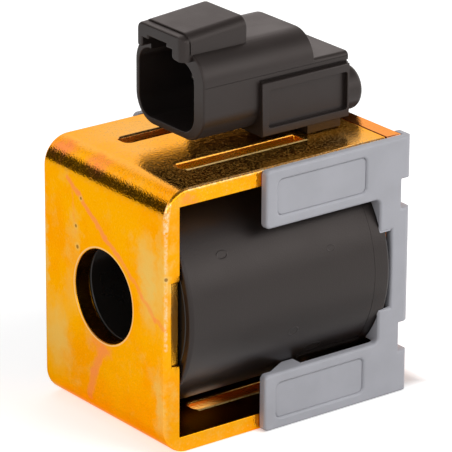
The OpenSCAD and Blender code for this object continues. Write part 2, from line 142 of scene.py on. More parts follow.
def length_setting(name, description, size, most):
    """A length, given in millimetres with the most that the panel's slider offers."""
    return bpy.props.FloatProperty(
        name=name, description=description, default=size * MM, min=0.0, soft_max=most * MM,
        unit="LENGTH", precision=5)


def colour_setting(name, description, default):
    """A linear colour that the panel shows as a swatch."""
    return bpy.props.FloatVectorProperty(
        name=name, description=description, default=default, size=3, min=0.0, max=1.0, subtype="COLOR")


class CoilEdges(bpy.types.PropertyGroup):
    """Edge radii of the pieces."""

    die_roll: length_setting("Die roll", "Rounding of the yoke's outer strip edges", 0.65, 2)
    steel_edge: length_setting("Steel edge", "Rounding of the other steel edges", 0.22, 1)
    slot_rim: length_setting("Slot rim", "Rounding of the slots' rims", 0.45, 1)
    clip_edge: length_setting("Clip edge", "Rounding round the outer face of the side clips", 0.5, 1)
    clip_fine_edge: length_setting("Clip fine edge", "Rounding of the clips' other edges", 0.14, 0.5)
    rim_edge: length_setting("Socket rim", "Rounding of the connector's mouth", 0.35, 1)
    moulded_edge: length_setting("Moulded edge", "Rounding of the black mouldings' other edges", 0.2, 0.5)


class CoilColours(bpy.types.PropertyGroup):
    """Colours of the finishes."""

    zinc_yellow: colour_setting("Zinc yellow", "Main colour of the passivated zinc", (1.0, 0.43, 0.006))
    zinc_orange: colour_setting("Zinc orange", "Deeper clouds in the zinc", (1.0, 0.36, 0.003))
    zinc_pale: colour_setting("Zinc pale", "Pale greenish patches in the zinc", (0.84, 0.52, 0.12))
    zinc_peach: colour_setting("Zinc peach", "Pale film on the top leg", (0.87, 0.53, 0.2))
    # Gold for the top leg's outer face, partly film colour and partly a painted sheen, and for the
    # painted light on the lower slots' walls
    gold_film_and_sheen: colour_setting("Zinc gold", "Thinner film on the upper leg", (1.0, 0.51, 0.12))
    # Bare zinc of worn edges, also the colour of the painted highlights on the edges and the bore's rim
    zinc_bare_and_glint: colour_setting("Zinc bare", "Worn edges without the yellow film", (0.93, 0.74, 0.44))
    # Colour of the painted highlight on the near slots' outer rims
    rim_highlight_gold: colour_setting("Rim gold", "Rubbed rims of the slots", (1.0, 0.72, 0.28))
    zinc_salmon: colour_setting("Zinc salmon", "Pink runs in the zinc", (0.97, 0.3, 0.075))
    plate_salmon: colour_setting("Plate salmon", "Main colour of the end plate", (0.9, 0.36, 0.16))
    sheared_brown: colour_setting("Sheared brown", "Torn metal of the sheared step", (0.2, 0.085, 0.02))
    clip_grey: colour_setting("Clip grey", "Plastic of the side clips", (0.42, 0.42, 0.455))
    jacket_black: colour_setting("Jacket black", "Plastic of the coil's jacket", (0.0105, 0.0082, 0.0075))
    housing_black: colour_setting("Housing black", "Plastic of the connector", (0.0145, 0.011, 0.0099))
    bobbin_black: colour_setting("Bobbin black", "Plastic of the bobbin", (0.012, 0.011, 0.01))
    copper: colour_setting("Copper", "Enamelled copper wire", (0.62, 0.2, 0.06))
    tape_amber: colour_setting("Tape amber", "Film tape over the winding", (0.6, 0.36, 0.07))
    tin: colour_setting("Tin", "Plated contact pins", (0.2, 0.195, 0.185))


class CoilStage(bpy.types.PropertyGroup):
    """Light and camera."""

    key_power: bpy.props.FloatProperty(
        name="Key light", description="Power of the large soft lamp", default=3.4, min=0.0, unit="POWER")
    fill_power: bpy.props.FloatProperty(
        name="Fill light", description="Power of the soft lamp on the other side",
        default=0.9, min=0.0, unit="POWER")
    top_power: bpy.props.FloatProperty(
        name="Top light", description="Power of the soft lamp above and behind", default=1.2, min=0.0,
        unit="POWER")
    ambient: bpy.props.FloatProperty(
        name="Ambient", description="Strength of the even light from all round", default=0.25, min=0.0)
    lens: bpy.props.FloatProperty(
        name="Lens", description="Focal length of the camera in millimetres", default=305.8, min=1.0)


# Selecting and shaping


def deselect_all():
    """Leaves edit mode and clears the selection."""
    if bpy.context.mode != "OBJECT":
        bpy.ops.object.mode_set(mode="OBJECT")
    bpy.ops.object.select_all(action="DESELECT")


def work_on(piece):
    """Makes a piece the only selected and the active object."""
    deselect_all()
    piece.select_set(True)
    bpy.context.view_layer.objects.active = piece


def copy_of_node(node, name):
    """Merged copy of a CAD node's mesh, for rounding."""
    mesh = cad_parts[node].data.copy()
    mesh.name = name
    mesh.materials.clear()
    piece = bpy.data.objects.new(name, mesh)
    bpy.context.scene.collection.objects.link(piece)
    work_on(piece)
    bpy.ops.mesh.customdata_custom_splitnormals_clear()
    bpy.ops.object.mode_set(mode="EDIT")
    bpy.ops.mesh.select_mode(type="EDGE")
    bpy.ops.mesh.select_all(action="SELECT")
    bpy.ops.mesh.remove_doubles(threshold=0.003 * MM)
    bpy.ops.mesh.select_all(action="DESELECT")
    bpy.ops.object.mode_set(mode="OBJECT")
    return piece


def block(name, low, high):
    """Plain block between two corners in millimetres."""
    deselect_all()
    middle = [(a + b) / 2 * MM for a, b in zip(low, high)]
    size = [(b - a) * MM for a, b in zip(low, high)]
    bpy.ops.mesh.primitive_cube_add(size=1.0, location=middle, scale=size)
    piece = bpy.context.active_object
    piece.name = name
    bpy.ops.object.transform_apply(location=True, rotation=True, scale=True)
    return piece


def span_y(low, high, first, second):
    """Two corners of a block from its lengthwise and upright ends and two places across, in any order."""
    return ((low[0], min(first, second), low[1]), (high[0], max(first, second), high[1]))


def pick_corners(piece, wanted):
    """Selects, in edit mode, the corners that pass the test in millimetres."""
    work_on(piece)
    bpy.ops.object.mode_set(mode="EDIT")
    bpy.ops.mesh.select_mode(type="VERT")
    bpy.ops.mesh.select_all(action="DESELECT")
    mesh = bmesh.from_edit_mesh(piece.data)
    for corner in mesh.verts:
        corner.select_set(wanted(corner.co / MM))
    mesh.select_flush_mode()
    bmesh.update_edit_mesh(piece.data)


def slide_corners(piece, move, wanted):
    """Moves the corners that pass the test, by millimetres."""
    pick_corners(piece, wanted)
    bpy.ops.transform.translate(value=[step * MM for step in move])
    bpy.ops.mesh.select_all(action="DESELECT")
    bpy.ops.object.mode_set(mode="OBJECT")


def scale_ring(piece, factor, wanted):
    """Scales the corners that pass the test away from the bore's axis."""
    pick_corners(piece, wanted)
    bpy.ops.transform.resize(value=(1, factor, factor), center_override=(0, 0, 0))
    bpy.ops.mesh.select_all(action="DESELECT")
    bpy.ops.object.mode_set(mode="OBJECT")


def combine(piece, other, operation):
    """Joins another new piece on, cuts it out or keeps what both share, and drops it."""
    work_on(piece)
    solver = piece.modifiers.new("combine", "BOOLEAN")
    solver.operation = operation
    solver.solver = "EXACT"
    solver.object = other
    bpy.ops.object.modifier_apply(modifier=solver.name)
    work_on(other)
    bpy.ops.object.delete()
    work_on(piece)


def along_x(a, b):
    """True for an edge that runs along the bore."""
    return abs(a.x - b.x) > 0.5


def at_front(place):
    """Test for edges that lie no further back than a place along the bore."""
    return lambda a, b: max(a.x, b.x) < place + 0.01


def at_rear(place):
    """Test for edges that lie no further forward than a place along the bore."""
    return lambda a, b: min(a.x, b.x) > place - 0.01


def round_edges(piece, width, segments, wanted):
    """Rounds the sharp edges whose two end points, in millimetres, pass the test."""
    work_on(piece)
    bpy.ops.object.mode_set(mode="EDIT")
    bpy.ops.mesh.select_mode(type="EDGE")
    bpy.ops.mesh.select_all(action="DESELECT")
    mesh = bmesh.from_edit_mesh(piece.data)
    for edge in mesh.edges:
        sharp = edge.is_manifold and edge.calc_face_angle(0.0) > math.radians(35)
        edge.select_set(sharp and wanted(*(v.co / MM for v in edge.verts)))
    bmesh.update_edit_mesh(piece.data)
    bpy.ops.mesh.bevel(offset_type="OFFSET", offset=width, segments=segments, profile=0.5,
                       affect="EDGES", clamp_overlap=False, loop_slide=False)
    bpy.ops.mesh.select_all(action="DESELECT")
    bpy.ops.object.mode_set(mode="OBJECT")


def close_gaps(piece):
    """Fills any sliver that the cutting left open."""
    work_on(piece)
    bpy.ops.object.mode_set(mode="EDIT")
    bpy.ops.mesh.select_all(action="SELECT")
    bpy.ops.mesh.fill_holes(sides=4)
    bpy.ops.mesh.select_all(action="DESELECT")
    bpy.ops.object.mode_set(mode="OBJECT")


def soften(piece, width, segments=2):
    """Rounds every edge that is still sharp, then shades the piece."""
    work_on(piece)
    bevel = piece.modifiers.new("soft_edges", "BEVEL")
    bevel.limit_method = "ANGLE"
    bevel.angle_limit = math.radians(40)
    bevel.width = width
    bevel.segments = segments
    bevel.use_clamp_overlap = False
    bpy.ops.object.modifier_apply(modifier=bevel.name)
    shade(piece)


def shade(piece):
    """Shades the flats flat and the rounds round."""
    work_on(piece)
    bpy.ops.object.shade_smooth_by_angle(angle=math.radians(42))
    weighted = piece.modifiers.new("even_normals", "WEIGHTED_NORMAL")
    weighted.mode = "FACE_AREA"
    weighted.weight = 100
    weighted.keep_sharp = True
    bpy.ops.object.modifier_apply(modifier=weighted.name)


def stand_for(piece, node, body, material):
    """Gives a finished piece its material and its body, and hides the CAD node that it stands for."""
    piece.data.materials.clear()
    piece.data.materials.append(material)
    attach(piece, body)
    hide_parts(node)
    deselect_all()


# Shader building


def join_inputs(tree, node, *values):
    """Fills a node's inputs in order with sockets or constants; None leaves one alone."""
    for socket, value in zip(node.inputs, values):
        if isinstance(value, bpy.types.NodeSocket):
            tree.links.new(value, socket)
        elif value is not None:
            socket.default_value = value
    return node


def math_of(tree, operation, *values):
    """One Math node; returns its result."""
    node = tree.nodes.new("ShaderNodeMath")
    node.operation = operation
    return join_inputs(tree, node, *values).outputs[0]


def vector_of(tree, operation, *values):
    """One Vector Math node; returns its vector or, for a length or a dot product, its value."""
    node = tree.nodes.new("ShaderNodeVectorMath")
    node.operation = operation
    join_inputs(tree, node, *values)
    return node.outputs["Value" if operation in ("LENGTH", "DOT_PRODUCT") else "Vector"]


def smooth_step(tree, value, start, end, low=0.0, high=1.0):
    """Value eased from start to end onto low to high."""
    node = tree.nodes.new("ShaderNodeMapRange")
    node.interpolation_type = "SMOOTHSTEP"
    return join_inputs(tree, node, value, start, end, low, high).outputs[0]


def clamp_of(tree, value):
    """Value held between nought and one."""
    node = tree.nodes.new("ShaderNodeClamp")
    return join_inputs(tree, node, value, 0.0, 1.0).outputs[0]


def split_of(tree, vector):
    """Three parts of a vector, as one node's outputs."""
    node = tree.nodes.new("ShaderNodeSeparateXYZ")
    tree.links.new(vector, node.inputs[0])
    return node.outputs


def oval_distance(tree, place, centre, radii):
    """Distance from a centre in shares of an oval's radii."""
    reach = vector_of(tree, "SUBTRACT", place, centre)
    return vector_of(tree, "LENGTH", vector_of(tree, "DIVIDE", reach, radii))


def box_distance(tree, place, centre, sizes):
    """Distance from a centre along each axis, in shares of a box's half sizes."""
    reach = vector_of(tree, "SUBTRACT", place, centre)
    return split_of(tree, vector_of(tree, "ABSOLUTE", vector_of(tree, "DIVIDE", reach, sizes)))


def blend_colours(tree, factor, first, second):
    """Mixes two colours, each a socket or three numbers."""
    node = tree.nodes.new("ShaderNodeMix")
    node.data_type = "RGBA"
    for socket, value in zip((node.inputs[0], node.inputs[6], node.inputs[7]), (factor, first, second)):
        if isinstance(value, bpy.types.NodeSocket):
            tree.links.new(value, socket)
        else:
            socket.default_value = value if socket.type == "VALUE" else (*value, 1.0)
    return node.outputs[2]


def noise_of(tree, vector, scale, detail=3.0, roughness=0.55):
    """Noise texture; returns its value."""
    node = tree.nodes.new("ShaderNodeTexNoise")
    tree.links.new(vector, node.inputs["Vector"])
    node.inputs["Scale"].default_value = scale
    node.inputs["Detail"].default_value = detail
    node.inputs["Roughness"].default_value = roughness
    return node.outputs["Fac"]


def new_group(name, inputs, outputs):
    """Empty shader node group with named sockets; returns it with its input and output nodes."""
    group = bpy.data.node_groups.new(name, "ShaderNodeTree")
    for label, kind, default in inputs:
        socket = group.interface.new_socket(name=label, in_out="INPUT", socket_type=kind)
        if default is not None:
            socket.default_value = default
    for label, kind in outputs:
        group.interface.new_socket(name=label, in_out="OUTPUT", socket_type=kind)
    entry = group.nodes.new("NodeGroupInput")
    result = group.nodes.new("NodeGroupOutput")
    return group, entry, result


def use_group(tree, group, **values):
    """Places a group in a material and fills its inputs; returns the node."""
    node = tree.nodes.new("ShaderNodeGroup")
    node.node_tree = group
    for key, value in values.items():
        socket = node.inputs[key.replace("_", " ")]
        if isinstance(value, bpy.types.NodeSocket):
            tree.links.new(value, socket)
        else:
            socket.default_value = value
    return node


def streak_group():
    """Mask of a soft line between two points, for stains that ran over the surface."""
    group, entry, result = new_group(
        "line_stain",
        [("Place", "NodeSocketVector", None), ("From", "NodeSocketVector", (0, 0, 0)),
         ("To", "NodeSocketVector", (1, 0, 0)), ("Width", "NodeSocketFloat", 1.0)],
        [("Mask", "NodeSocketFloat")])
    along = vector_of(group, "SUBTRACT", entry.outputs["To"], entry.outputs["From"])
    reach = vector_of(group, "SUBTRACT", entry.outputs["Place"], entry.outputs["From"])
    share = math_of(group, "DIVIDE", vector_of(group, "DOT_PRODUCT", reach, along),
                    vector_of(group, "DOT_PRODUCT", along, along))
    clamped = clamp_of(group, share)
    scaled = group.nodes.new("ShaderNodeVectorMath")
    scaled.operation = "SCALE"
    group.links.new(along, scaled.inputs[0])
    group.links.new(clamped, scaled.inputs["Scale"])
    away = vector_of(group, "LENGTH", vector_of(group, "SUBTRACT", reach, scaled.outputs[0]))
    ratio = math_of(group, "DIVIDE", away, entry.outputs["Width"])
    group.links.new(smooth_step(group, ratio, 0.25, 1.0, 1.0, 0.0), result.inputs["Mask"])
    return group


def patch_group():
    """Mask of a soft oval patch at a place."""
    group, entry, result = new_group(
        "oval_patch",
        [("Place", "NodeSocketVector", None), ("Centre", "NodeSocketVector", (0, 0, 0)),
         ("Size", "NodeSocketVector", (1, 1, 1)), ("Core", "NodeSocketFloat", 0.45)],
        [("Mask", "NodeSocketFloat")])
    away = oval_distance(group, *(entry.outputs[label] for label in ("Place", "Centre", "Size")))
    group.links.new(smooth_step(group, away, entry.outputs["Core"], 1.0, 1.0, 0.0), result.inputs["Mask"])
    return group


def zone_group():
    """Mask of a box that is mirrored to both sides of the part and to both legs."""
    group, entry, result = new_group(
        "leg_zone",
        [("Place", "NodeSocketVector", None), ("Centre", "NodeSocketVector", (0, 0, 0)),
         ("Size", "NodeSocketVector", (1, 1, 1))],
        [("Mask", "NodeSocketFloat")])
    folded = vector_of(group, "ABSOLUTE", entry.outputs["Place"])
    shares = box_distance(group, folded, entry.outputs["Centre"], entry.outputs["Size"])
    widest = math_of(group, "MAXIMUM", math_of(group, "MAXIMUM", shares[0], shares[1]), shares[2])
    group.links.new(smooth_step(group, widest, 0.96, 1.0, 1.0, 0.0), result.inputs["Mask"])
    return group


def ring_group():
    """Height of an oval mould mark: a shallow dish with a raised rim."""
    group, entry, result = new_group(
        "round_mark",
        [("Place", "NodeSocketVector", None), ("Centre", "NodeSocketVector", (0, 0, 0)),
         ("Size", "NodeSocketVector", (1, 1, 1))],
        [("Height", "NodeSocketFloat")])
    away = oval_distance(group, *(entry.outputs[label] for label in ("Place", "Centre", "Size")))
    rim = math_of(group, "MULTIPLY", smooth_step(group, away, 0.72, 0.9),
                  smooth_step(group, away, 0.92, 1.1, 1.0, 0.0))
    dish = smooth_step(group, away, 0.6, 0.95, -0.5, 0.0)
    group.links.new(math_of(group, "ADD", rim, dish), result.inputs["Height"])
    return group


def grain_group():
    """Fine moulded or blasted grain: a height for the bump and a slow tone for the colour."""
    group, entry, result = new_group(
        "moulded_grain",
        [("Place", "NodeSocketVector", None), ("Pitch", "NodeSocketFloat", 3.0),
         ("Cloud", "NodeSocketFloat", 0.15)],
        [("Height", "NodeSocketFloat"), ("Tone", "NodeSocketFloat")])
    for label, scale, detail in (("Height", "Pitch", 2.0), ("Tone", "Cloud", 4.0)):
        noise = group.nodes.new("ShaderNodeTexNoise")
        noise.inputs["Detail"].default_value = detail
        group.links.new(entry.outputs["Place"], noise.inputs["Vector"])
        group.links.new(entry.outputs[scale], noise.inputs["Scale"])
        group.links.new(noise.outputs["Fac"], result.inputs[label])
    return group


def start_material(name):
    """New material with its Principled shader and the piece's own place in millimetres."""
    material = bpy.data.materials.new(name)
    material.use_nodes = True
    tree = material.node_tree
    shader = next(n for n in tree.nodes if n.type == "BSDF_PRINCIPLED")
    coordinates = tree.nodes.new("ShaderNodeTexCoord")
    mapping = tree.nodes.new("ShaderNodeMapping")
    mapping.inputs["Scale"].default_value = (1000, 1000, 1000)
    tree.links.new(coordinates.outputs["Object"], mapping.inputs["Vector"])
    return material, tree, shader, mapping.outputs["Vector"]


def bump_into(tree, shader, height):
    """Feeds a height in millimetres to the shader's normal."""
    bump = tree.nodes.new("ShaderNodeBump")
    bump.inputs["Strength"].default_value = 1.0
    bump.inputs["Distance"].default_value = MM
    tree.links.new(height, bump.inputs["Height"])
    tree.links.new(bump.outputs["Normal"], shader.inputs["Normal"])


# Stains of the zinc in the part's own frame, in millimetres: runs, patches, worn edge runs that also
# paint highlights, and pits
RUNS = [
    ([(0, 10.0, 18.2), (0, 6.9, 16.2), (0, 3.6, 13.6), (0, -0.6, 10.5), (0, -4.3, 8.5)], 0.75, 0.85),
    ([(0, -4.3, 8.5), (0, -7.6, 6.0), (0, -10.8, 3.5), (0, -14.4, 0.6), (0, -16.8, -0.5)], 0.7, 0.6),
    ([(0, 0.1, -9.3), (0, 2.6, -14.4), (0, 4.1, -19.2)], 1.4, 0.8),
    ([(0, 8.6, 17.0), (0, 7.9, 9.0)], 0.5, 0.3),
]
PALE_PATCHES = [
    ((0, -13.0, 5.6), (4, 4.2, 10.5), 1.0),
    ((0, -11.6, 10.5), (4, 3.4, 6.0), 0.6),
    ((0, 13.4, -11.0), (4, 5.6, 9.5), 0.85),
    ((0, 16.9, 3.0), (4, 1.6, 19.0), 0.8),
    ((0, -15.6, -14.0), (4, 2.4, 9.5), 0.8),
    ((0, -16.2, 8.0), (4, 1.7, 14.0), 0.7),
    ((0, 8.2, 9.6), (4, 2.6, 5.0), 0.5),
    ((0, 9.0, -2.0), (4, 3.0, 7.0), 0.35),
]
PEACH_PATCHES = [
    ((15.0, 11.5, 23.0), (14.0, 9.5, 3.0), 0.85),
    ((9.5, 3.0, 23.0), (5.0, 5.0, 3.0), 0.6),
    ((40.0, -14.0, 23.0), (8.0, 5.0, 3.0), 0.9),
]
SALMON_PATCHES = [
    ((1.4, 3.6, 22.6), (3.4, 4.2, 4.0), 1.0),
    ((1.8, 13.6, 22.0), (3.0, 4.6, 4.0), 1.0),
    ((0, 1.0, -9.2), (3, 5.0, 2.2), 0.7),
    ((5.0, -17.0, 21.5), (2.0, 1.0, 1.6), 0.6),
]
# Worn bare zinc along the die-roll edges, partly a painted highlight of those edges
WORN_AND_GLINT_RUNS = [
    ([(0.9, -17.0, 20.9), (0.35, -17.0, 18.6), (0.3, -17.05, 16.2)], 0.7, 0.85),
    ([(0.3, -17.05, 16.2), (0.25, -17.05, 8.0), (0.25, -17.05, -4.0)], 0.45, 0.6),
    # Painted highlight line along the top strip's near edge
    ([(5.0, -17.0, 23.0), (20.0, -17.0, 23.05), (44.0, -17.0, 23.05)], 0.6, 0.6),
]
PITS = [((0, 6.2, 15.5), 0.45), ((0, 7.7, 10.2), 0.5), ((0, 7.3, 6.6), 0.6), ((0.3, -17.1, 8.3), 0.55)]

# Zones of the zinc as centre and half size: the torn steps, the slots' walls and the slots' rims
TORN_STEPS = [((2.3, side * 16.95, 0.2), (1.5, 0.9, 10.0)) for side in (-1, 1)]
SLOT_WALLS = ((23.5, 7.9, 21.6), (14.2, 1.75, 1.4))
SLOT_RIMS = [((middle, 9.8, level), (12.8, 0.55, 0.5)) for middle, level in ((24.7, 20.3), (22.2, 23.0))]
LEG_START, LEG_FULL = 18.0, 20.5


def lay_over(tree, colour, mask, amount, over):
    """Colour with another one laid over it where a mask shows."""
    return blend_colours(tree, math_of(tree, "MULTIPLY", mask, amount), colour, over)


def raise_by(tree, value, mask, amount):
    """Value raised where a mask shows."""
    return math_of(tree, "ADD", value, math_of(tree, "MULTIPLY", mask, amount))


def stain_zinc(tree, groups, places, colour):
    """Adds patches, runs, worn edges and pits to the yoke's colour; the worn edge runs also paint the
    edges' highlights.
    """
    colours = bpy.context.scene.coil_colours
    place_mm, flowing, drifting = places
    for patches, over in ((PALE_PATCHES, colours.zinc_pale), (PEACH_PATCHES, colours.zinc_peach),
                          (SALMON_PATCHES, colours.zinc_salmon)):
        for centre, size, amount in patches:
            patch = use_group(tree, groups["patch"], Place=drifting, Centre=centre, Size=size, Core=0.1)
            colour = lay_over(tree, colour, patch.outputs[0], amount, over)
    for points, width, amount in RUNS:
        for start, end in zip(points, points[1:]):
            run = use_group(tree, groups["streak"], Place=flowing, From=start, To=end, Width=width)
            colour = lay_over(tree, colour, run.outputs[0], amount, colours.zinc_salmon)
    speckle = smooth_step(tree, noise_of(tree, place_mm, 1.6, 4.0, 0.7), 0.36, 0.66)
    for points, width, amount in WORN_AND_GLINT_RUNS:
        for start, end in zip(points, points[1:]):
            run = use_group(tree, groups["streak"], Place=place_mm, From=start, To=end, Width=width)
            worn_and_glint = math_of(tree, "MULTIPLY", run.outputs[0], speckle)
            colour = lay_over(tree, colour, worn_and_glint, amount, colours.zinc_bare_and_glint)
    for centre, size in PITS:
        halo = use_group(tree, groups["patch"], Place=place_mm, Centre=centre, Size=[size * 1.7] * 3)
        colour = lay_over(tree, colour, halo.outputs[0], 0.6, colours.zinc_pale)
        pit = use_group(tree, groups["patch"], Place=place_mm, Centre=centre, Size=[size * 0.8] * 3)
        colour = lay_over(tree, colour, pit.outputs[0], 0.75, colours.sheared_brown)
    return colour


def wear_zinc(tree, groups, place_mm, fine, colour, rough):
    """Finishes slots, bore and top leg, with painted highlights on the near slots' rims and the bore's
    rim and painted light on the lower slots' walls; returns colour, roughness and how dull the metal is.
    """
    colours = bpy.context.scene.coil_colours
    parts = split_of(tree, place_mm)

    def zone(centre, size):
        return use_group(tree, groups["zone"], Place=place_mm, Centre=centre, Size=size).outputs[0]

    walls = zone(*SLOT_WALLS)
    # Painted light: the lower slots' walls are laid over with paler gold for the bright light they mirror
    lower_walls_painted_light = math_of(tree, "MULTIPLY", walls, smooth_step(tree, parts["Z"], -1.0, 1.0, 1.0, 0.0))
    upper_walls = math_of(tree, "SUBTRACT", walls, lower_walls_painted_light)
    colour = lay_over(tree, colour, lower_walls_painted_light, 0.9, colours.gold_film_and_sheen)
    # Painted highlight: the near slots' outer rims get a paler gold and are made rougher and less
    # metallic so that the lamps light them
    rims = math_of(tree, "MAXIMUM", *(zone(*rim) for rim in SLOT_RIMS))
    near_rims = math_of(tree, "MULTIPLY", rims, smooth_step(tree, parts["Y"], -1.0, 1.0, 1.0, 0.0))
    rim_painted_highlight = math_of(tree, "MULTIPLY", near_rims, smooth_step(tree, fine, 0.3, 0.5, 0.4))
    colour = lay_over(tree, colour, rim_painted_highlight, 0.9, colours.rim_highlight_gold)
    radial = vector_of(tree, "LENGTH", vector_of(tree, "MULTIPLY", place_mm, (0, 1, 1)))
    bored = smooth_step(tree, radial, BORE_RADIUS + 0.06, BORE_RADIUS + 0.2, 1.0, 0.0)
    brown = math_of(tree, "MULTIPLY", bored, smooth_step(tree, fine, 0.36, 0.62, 1.0, 0.5))
    colour = lay_over(tree, colour, brown, 0.4, colours.sheared_brown)
    # Painted highlight: a pale ring round the bore stands for the light on its rounded rim
    bore_rim_highlight = math_of(tree, "MULTIPLY", smooth_step(tree, radial, BORE_RADIUS + 0.12, BORE_RADIUS + 0.2),
                       smooth_step(tree, radial, BORE_RADIUS + 0.3, BORE_RADIUS + 0.5, 1.0, 0.0))
    colour = lay_over(tree, colour, bore_rim_highlight, 0.5, colours.zinc_bare_and_glint)
    rough = raise_by(tree, rough, rim_painted_highlight, 0.25)
    rough = raise_by(tree, rough, math_of(tree, "MAXIMUM", upper_walls, bored), 0.14)
    speck = smooth_step(tree, noise_of(tree, place_mm, 3.6, 2.0, 0.6), 0.48, 0.66, 0.0, 0.28)
    flecks = math_of(tree, "MULTIPLY", speck, smooth_step(tree, parts["Z"], LEG_START, LEG_FULL))
    dull = math_of(tree, "MAXIMUM", math_of(tree, "MULTIPLY", rim_painted_highlight, 0.9), flecks)
    dull = math_of(tree, "MAXIMUM", dull, math_of(tree, "MULTIPLY", upper_walls, 0.1))
    return colour, rough, dull


def zinc_material(name, main, groups, stains_and_painted_light):
    """Yellow-passivated zinc: metallic, cloudy, finely pitted, with runs where the bath drained off, and
    a paler top face that is partly a painted sheen.
    """
    colours = bpy.context.scene.coil_colours
    material, tree, shader, place_mm = start_material(name)
    warp = tree.nodes.new("ShaderNodeTexNoise")
    warp.inputs["Scale"].default_value = 0.45
    warp.inputs["Detail"].default_value = 5.0
    warp.inputs["Roughness"].default_value = 0.62
    tree.links.new(place_mm, warp.inputs["Vector"])
    centred = vector_of(tree, "SUBTRACT", warp.outputs["Color"], (0.5, 0.5, 0.5))
    flowing, drifting = (
        vector_of(tree, "ADD", place_mm, vector_of(tree, "MULTIPLY", centred, [reach] * 3))
        for reach in (1.8, 6.5))
    cloud = smooth_step(tree, noise_of(tree, place_mm, 0.09, 5.0, 0.6), 0.36, 0.66)
    colour = blend_colours(tree, cloud, main, colours.zinc_orange if stains_and_painted_light else main)
    pale = smooth_step(tree, noise_of(tree, flowing, 0.16, 6.0, 0.65), 0.5, 0.8, 0.0, 0.55)
    colour = blend_colours(tree, pale, colour, colours.zinc_pale)
    height_mm = split_of(tree, place_mm)["Z"]
    # The top leg's outer face gets paler gold: partly the film's own colour, partly a painted sheen of
    # its bright grazing reflection
    upper = smooth_step(tree, height_mm, 22.5, 23.1)
    colour = lay_over(tree, colour, upper, 0.75 if stains_and_painted_light else 0.0, colours.gold_film_and_sheen)
    fine = noise_of(tree, place_mm, 2.6, 3.0, 0.6)
    level = math_of(tree, "ABSOLUTE", height_mm)
    flecks = smooth_step(tree, level, LEG_START, LEG_FULL, 0.16, 0.42)
    colour = lay_over(tree, colour, smooth_step(tree, fine, 0.52, 0.72), flecks, colours.zinc_pale)
    colour = lay_over(tree, colour, smooth_step(tree, fine, 0.48, 0.3), 0.1, colours.sheared_brown)
    grain = use_group(tree, groups["grain"], Place=place_mm, Pitch=3.3, Cloud=0.25)
    rough = smooth_step(tree, grain.outputs["Tone"], 0.3, 0.75, 0.07, 0.12)
    on_legs = smooth_step(tree, level, LEG_START, LEG_FULL)
    depth = smooth_step(tree, on_legs, 0.0, 1.0, 0.022, 0.042)
    height = math_of(tree, "MULTIPLY", grain.outputs["Height"], depth)
    # This branch adds the stains and wear together with painted highlights on edges and rims and painted
    # light on the lower slots' walls
    if stains_and_painted_light:
        colour = stain_zinc(tree, groups, (place_mm, flowing, drifting), colour)
        torn = math_of(tree, "ADD", *(use_group(tree, groups["patch"], Place=place_mm, Centre=centre,
                                                Size=size).outputs[0] for centre, size in TORN_STEPS))
        colour = lay_over(tree, colour, torn, 0.85, colours.sheared_brown)
        rough = raise_by(tree, rough, torn, 0.25)
        torn_grain = math_of(tree, "MULTIPLY", noise_of(tree, place_mm, 4.0, 5.0, 0.7), torn)
        height = raise_by(tree, height, torn_grain, 0.14)
        colour, rough, dull = wear_zinc(tree, groups, place_mm, fine, colour, rough)
        tree.links.new(math_of(tree, "SUBTRACT", 1.0, dull), shader.inputs["Metallic"])
    else:
        shader.inputs["Metallic"].default_value = 1.0
    thrown = tree.nodes.new("ShaderNodeLightPath").outputs["Is Diffuse Ray"]
    rough = math_of(tree, "MAXIMUM", rough, math_of(tree, "MULTIPLY", thrown, 0.6))
    tree.links.new(rough, shader.inputs["Roughness"])
    tree.links.new(colour, shader.inputs["Base Color"])
    shader.inputs["Specular Tint"].default_value = (*ZINC_SHEEN, 1.0)
    bump_into(tree, shader, height)
    return material


def plastic_material(name, colour, groups, roughness, pitch, depth, marks=(), sheen_tint=(1, 1, 1),
                     underside=0.95):
    """Moulded plastic with a fine grain, slight clouds, any round mould marks and a rougher underside."""
    material, tree, shader, place_mm = start_material(name)
    shader.inputs["Specular Tint"].default_value = (*sheen_tint, 1.0)
    grain = use_group(tree, groups["grain"], Place=place_mm, Pitch=pitch, Cloud=0.16)
    dark = tuple(c * 0.96 for c in colour)
    light = tuple(min(1.0, c * 1.04) for c in colour)
    tone = smooth_step(tree, grain.outputs["Tone"], 0.3, 0.7)
    tree.links.new(blend_colours(tree, tone, dark, light), shader.inputs["Base Color"])
    rough = smooth_step(tree, grain.outputs["Tone"], 0.3, 0.75, roughness - 0.04, roughness + 0.05)
    facing = split_of(tree, tree.nodes.new("ShaderNodeTexCoord").outputs["Normal"])
    below = smooth_step(tree, facing["Z"], -0.6, -0.1, underside, 0.0)
    tree.links.new(math_of(tree, "MAXIMUM", rough, below), shader.inputs["Roughness"])
    height = math_of(tree, "MULTIPLY", grain.outputs["Height"], depth)
    for centre, size, amount in marks:
        mark = use_group(tree, groups["ring"], Place=place_mm, Centre=centre, Size=size)
        height = raise_by(tree, height, mark.outputs[0], amount)
    bump_into(tree, shader, height)
    return material


